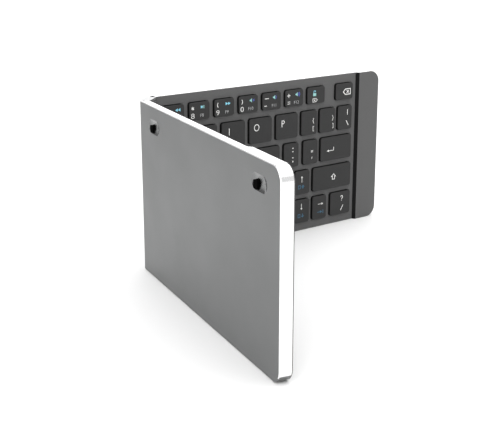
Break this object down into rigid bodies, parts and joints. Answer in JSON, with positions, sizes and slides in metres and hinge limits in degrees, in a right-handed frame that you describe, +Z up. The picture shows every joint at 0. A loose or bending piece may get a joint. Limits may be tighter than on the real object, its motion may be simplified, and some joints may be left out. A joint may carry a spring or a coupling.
{
  "type": "folding keyboard",
  "caption": "Wireless keyboard in two thin metal halves on a double-pivot hinge, standing open on its long front edges, with keys that press in and raised blocks at both ends.",
  "frame": {"origin": "middle of the hinge spine, on its lower end face, where the keyboard stands", "axes": "+X towards the free end of the right half's side, with the fold in the plane x = 0; +Y behind the hinge, away from the keys; +Z up along the hinge pins, towards the rear edges of both halves"},
  "size_m": [0.2542, 0.1044, 0.09],
  "materials": {
    "tray_aluminium": "fine bead-blasted, anodised silver grey",
    "frame_plastic": "satin dark grey",
    "key_plastic": "matt charcoal with pale legends",
    "black_plastic": "satin black",
    "spine_aluminium": "anodised dark grey",
    "cap_aluminium": "bead-blasted, light grey",
    "steel": "plain stamped steel",
    "foot_rubber": "matt black",
    "battery_wrap": "plain wrap",
    "board_resin": "green solder mask"
  },
  "bodies": {
    "right_half": {"right_tray": "tray_aluminium", "right_front_frame": "frame_plastic", "right_ramp_trim": "black_plastic", "right_hinge_brackets": "steel", "right_feet": "foot_rubber", "right_switch_plate": "steel", "main_board": "board_resin", "usb_c_socket": "steel"},
    "spine": {"spine_bar": "spine_aluminium", "spine_caps": "cap_aluminium", "hinge_pins": "steel"},
    "left_half": {"left_tray": "tray_aluminium", "left_front_frame": "frame_plastic", "left_ramp_trim": "black_plastic", "left_hinge_brackets": "steel", "left_feet": "foot_rubber", "left_switch_plate": "steel", "battery_pack": "battery_wrap"},
    "power_switch": {"power_slider": "black_plastic"},
    "left_keys_space_row_body": {"left_keys_space_row": "key_plastic"},
    "left_keys_shift_row_body": {"left_keys_shift_row": "key_plastic"},
    "left_keys_caps_row_body": {"left_keys_caps_row": "key_plastic"},
    "left_keys_tab_row_body": {"left_keys_tab_row": "key_plastic"},
    "left_keys_number_row_body": {"left_keys_number_row": "key_plastic"},
    "key_space_body": {"key_space": "key_plastic"},
    "key_alt_body": {"key_alt": "key_plastic"},
    "key_arrow_left_body": {"key_arrow_left": "key_plastic"},
    "key_arrow_down_body": {"key_arrow_down": "key_plastic"},
    "key_arrow_right_body": {"key_arrow_right": "key_plastic"},
    "key_slash_body": {"key_slash": "key_plastic"},
    "key_n_body": {"key_n": "key_plastic"},
    "key_m_body": {"key_m": "key_plastic"},
    "key_comma_body": {"key_comma": "key_plastic"},
    "key_period_body": {"key_period": "key_plastic"},
    "key_grave_body": {"key_grave": "key_plastic"},
    "key_arrow_up_body": {"key_arrow_up": "key_plastic"},
    "key_shift_body": {"key_shift": "key_plastic"},
    "key_h_body": {"key_h": "key_plastic"},
    "key_j_body": {"key_j": "key_plastic"},
    "key_k_body": {"key_k": "key_plastic"},
    "key_l_body": {"key_l": "key_plastic"},
    "key_semicolon_body": {"key_semicolon": "key_plastic"},
    "key_quote_body": {"key_quote": "key_plastic"},
    "key_enter_body": {"key_enter": "key_plastic"},
    "key_y_body": {"key_y": "key_plastic"},
    "key_u_body": {"key_u": "key_plastic"},
    "key_i_body": {"key_i": "key_plastic"},
    "key_o_body": {"key_o": "key_plastic"},
    "key_p_body": {"key_p": "key_plastic"},
    "key_left_bracket_body": {"key_left_bracket": "key_plastic"},
    "key_right_bracket_body": {"key_right_bracket": "key_plastic"},
    "key_backslash_body": {"key_backslash": "key_plastic"},
    "key_7_body": {"key_7": "key_plastic"},
    "key_8_body": {"key_8": "key_plastic"},
    "key_9_body": {"key_9": "key_plastic"},
    "key_0_body": {"key_0": "key_plastic"},
    "key_minus_body": {"key_minus": "key_plastic"},
    "key_equals_body": {"key_equals": "key_plastic"},
    "key_delete_body": {"key_delete": "key_plastic"},
    "key_backspace_body": {"key_backspace": "key_plastic"}
  },
  "joints": [
    {"name": "right_hinge", "type": "hinge", "parent": "right_half", "child": "spine", "pos_m": [0.0025, 0, 0.045], "axis": [0, 0, 1], "range_deg": [-39.5, 50.5]},
    {"name": "left_hinge", "type": "hinge", "parent": "spine", "child": "left_half", "pos_m": [-0.0025, 0, 0.045], "axis": [0, 0, 1], "range_deg": [-39.5, 50.5]},
    {"name": "power_switch_slide", "type": "slide", "parent": "right_half", "child": "power_switch", "axis": [0, 0, 1], "range_m": [0, 0.002]},
    {"name": "press_left_keys_space_row", "type": "slide", "parent": "left_half", "child": "left_keys_space_row_body", "axis": [-0.6361, 0.7716, 0], "range_m": [0, 0.0012], "stiffness_N_per_m": 400, "springref_m": -0.0008},
    {"name": "press_left_keys_shift_row", "type": "slide", "parent": "left_half", "child": "left_keys_shift_row_body", "axis": [-0.6361, 0.7716, 0], "range_m": [0, 0.0012], "stiffness_N_per_m": 400, "springref_m": -0.0008},
    {"name": "press_left_keys_caps_row", "type": "slide", "parent": "left_half", "child": "left_keys_caps_row_body", "axis": [-0.6361, 0.7716, 0], "range_m": [0, 0.0012], "stiffness_N_per_m": 400, "springref_m": -0.0008},
    {"name": "press_left_keys_tab_row", "type": "slide", "parent": "left_half", "child": "left_keys_tab_row_body", "axis": [-0.6361, 0.7716, 0], "range_m": [0, 0.0012], "stiffness_N_per_m": 400, "springref_m": -0.0008},
    {"name": "press_left_keys_number_row", "type": "slide", "parent": "left_half", "child": "left_keys_number_row_body", "axis": [-0.6361, 0.7716, 0], "range_m": [0, 0.0012], "stiffness_N_per_m": 400, "springref_m": -0.0008},
    {"name": "press_space", "type": "slide", "parent": "right_half", "child": "key_space_body", "axis": [0.6361, 0.7716, 0], "range_m": [0, 0.0012], "stiffness_N_per_m": 400, "springref_m": -0.0008},
    {"name": "press_alt", "type": "slide", "parent": "right_half", "child": "key_alt_body", "axis": [0.6361, 0.7716, 0], "range_m": [0, 0.0012], "stiffness_N_per_m": 400, "springref_m": -0.0008},
    {"name": "press_arrow_left", "type": "slide", "parent": "right_half", "child": "key_arrow_left_body", "axis": [0.6361, 0.7716, 0], "range_m": [0, 0.0012], "stiffness_N_per_m": 400, "springref_m": -0.0008},
    {"name": "press_arrow_down", "type": "slide", "parent": "right_half", "child": "key_arrow_down_body", "axis": [0.6361, 0.7716, 0], "range_m": [0, 0.0012], "stiffness_N_per_m": 400, "springref_m": -0.0008},
    {"name": "press_arrow_right", "type": "slide", "parent": "right_half", "child": "key_arrow_right_body", "axis": [0.6361, 0.7716, 0], "range_m": [0, 0.0012], "stiffness_N_per_m": 400, "springref_m": -0.0008},
    {"name": "press_slash", "type": "slide", "parent": "right_half", "child": "key_slash_body", "axis": [0.6361, 0.7716, 0], "range_m": [0, 0.0012], "stiffness_N_per_m": 400, "springref_m": -0.0008},
    {"name": "press_n", "type": "slide", "parent": "right_half", "child": "key_n_body", "axis": [0.6361, 0.7716, 0], "range_m": [0, 0.0012], "stiffness_N_per_m": 400, "springref_m": -0.0008},
    {"name": "press_m", "type": "slide", "parent": "right_half", "child": "key_m_body", "axis": [0.6361, 0.7716, 0], "range_m": [0, 0.0012], "stiffness_N_per_m": 400, "springref_m": -0.0008},
    {"name": "press_comma", "type": "slide", "parent": "right_half", "child": "key_comma_body", "axis": [0.6361, 0.7716, 0], "range_m": [0, 0.0012], "stiffness_N_per_m": 400, "springref_m": -0.0008},
    {"name": "press_period", "type": "slide", "parent": "right_half", "child": "key_period_body", "axis": [0.6361, 0.7716, 0], "range_m": [0, 0.0012], "stiffness_N_per_m": 400, "springref_m": -0.0008},
    {"name": "press_grave", "type": "slide", "parent": "right_half", "child": "key_grave_body", "axis": [0.6361, 0.7716, 0], "range_m": [0, 0.0012], "stiffness_N_per_m": 400, "springref_m": -0.0008},
    {"name": "press_arrow_up", "type": "slide", "parent": "right_half", "child": "key_arrow_up_body", "axis": [0.6361, 0.7716, 0], "range_m": [0, 0.0012], "stiffness_N_per_m": 400, "springref_m": -0.0008},
    {"name": "press_shift", "type": "slide", "parent": "right_half", "child": "key_shift_body", "axis": [0.6361, 0.7716, 0], "range_m": [0, 0.0012], "stiffness_N_per_m": 400, "springref_m": -0.0008},
    {"name": "press_h", "type": "slide", "parent": "right_half", "child": "key_h_body", "axis": [0.6361, 0.7716, 0], "range_m": [0, 0.0012], "stiffness_N_per_m": 400, "springref_m": -0.0008},
    {"name": "press_j", "type": "slide", "parent": "right_half", "child": "key_j_body", "axis": [0.6361, 0.7716, 0], "range_m": [0, 0.0012], "stiffness_N_per_m": 400, "springref_m": -0.0008},
    {"name": "press_k", "type": "slide", "parent": "right_half", "child": "key_k_body", "axis": [0.6361, 0.7716, 0], "range_m": [0, 0.0012], "stiffness_N_per_m": 400, "springref_m": -0.0008},
    {"name": "press_l", "type": "slide", "parent": "right_half", "child": "key_l_body", "axis": [0.6361, 0.7716, 0], "range_m": [0, 0.0012], "stiffness_N_per_m": 400, "springref_m": -0.0008},
    {"name": "press_semicolon", "type": "slide", "parent": "right_half", "child": "key_semicolon_body", "axis": [0.6361, 0.7716, 0], "range_m": [0, 0.0012], "stiffness_N_per_m": 400, "springref_m": -0.0008},
    {"name": "press_quote", "type": "slide", "parent": "right_half", "child": "key_quote_body", "axis": [0.6361, 0.7716, 0], "range_m": [0, 0.0012], "stiffness_N_per_m": 400, "springref_m": -0.0008},
    {"name": "press_enter", "type": "slide", "parent": "right_half", "child": "key_enter_body", "axis": [0.6361, 0.7716, 0], "range_m": [0, 0.0012], "stiffness_N_per_m": 400, "springref_m": -0.0008},
    {"name": "press_y", "type": "slide", "parent": "right_half", "child": "key_y_body", "axis": [0.6361, 0.7716, 0], "range_m": [0, 0.0012], "stiffness_N_per_m": 400, "springref_m": -0.0008},
    {"name": "press_u", "type": "slide", "parent": "right_half", "child": "key_u_body", "axis": [0.6361, 0.7716, 0], "range_m": [0, 0.0012], "stiffness_N_per_m": 400, "springref_m": -0.0008},
    {"name": "press_i", "type": "slide", "parent": "right_half", "child": "key_i_body", "axis": [0.6361, 0.7716, 0], "range_m": [0, 0.0012], "stiffness_N_per_m": 400, "springref_m": -0.0008},
    {"name": "press_o", "type": "slide", "parent": "right_half", "child": "key_o_body", "axis": [0.6361, 0.7716, 0], "range_m": [0, 0.0012], "stiffness_N_per_m": 400, "springref_m": -0.0008},
    {"name": "press_p", "type": "slide", "parent": "right_half", "child": "key_p_body", "axis": [0.6361, 0.7716, 0], "range_m": [0, 0.0012], "stiffness_N_per_m": 400, "springref_m": -0.0008},
    {"name": "press_left_bracket", "type": "slide", "parent": "right_half", "child": "key_left_bracket_body", "axis": [0.6361, 0.7716, 0], "range_m": [0, 0.0012], "stiffness_N_per_m": 400, "springref_m": -0.0008},
    {"name": "press_right_bracket", "type": "slide", "parent": "right_half", "child": "key_right_bracket_body", "axis": [0.6361, 0.7716, 0], "range_m": [0, 0.0012], "stiffness_N_per_m": 400, "springref_m": -0.0008},
    {"name": "press_backslash", "type": "slide", "parent": "right_half", "child": "key_backslash_body", "axis": [0.6361, 0.7716, 0], "range_m": [0, 0.0012], "stiffness_N_per_m": 400, "springref_m": -0.0008},
    {"name": "press_7", "type": "slide", "parent": "right_half", "child": "key_7_body", "axis": [0.6361, 0.7716, 0], "range_m": [0, 0.0012], "stiffness_N_per_m": 400, "springref_m": -0.0008},
    {"name": "press_8", "type": "slide", "parent": "right_half", "child": "key_8_body", "axis": [0.6361, 0.7716, 0], "range_m": [0, 0.0012], "stiffness_N_per_m": 400, "springref_m": -0.0008},
    {"name": "press_9", "type": "slide", "parent": "right_half", "child": "key_9_body", "axis": [0.6361, 0.7716, 0], "range_m": [0, 0.0012], "stiffness_N_per_m": 400, "springref_m": -0.0008},
    {"name": "press_0", "type": "slide", "parent": "right_half", "child": "key_0_body", "axis": [0.6361, 0.7716, 0], "range_m": [0, 0.0012], "stiffness_N_per_m": 400, "springref_m": -0.0008},
    {"name": "press_minus", "type": "slide", "parent": "right_half", "child": "key_minus_body", "axis": [0.6361, 0.7716, 0], "range_m": [0, 0.0012], "stiffness_N_per_m": 400, "springref_m": -0.0008},
    {"name": "press_equals", "type": "slide", "parent": "right_half", "child": "key_equals_body", "axis": [0.6361, 0.7716, 0], "range_m": [0, 0.0012], "stiffness_N_per_m": 400, "springref_m": -0.0008},
    {"name": "press_delete", "type": "slide", "parent": "right_half", "child": "key_delete_body", "axis": [0.6361, 0.7716, 0], "range_m": [0, 0.0012], "stiffness_N_per_m": 400, "springref_m": -0.0008},
    {"name": "press_backspace", "type": "slide", "parent": "right_half", "child": "key_backspace_body", "axis": [0.6361, 0.7716, 0], "range_m": [0, 0.0012], "stiffness_N_per_m": 400, "springref_m": -0.0008}
  ]
}
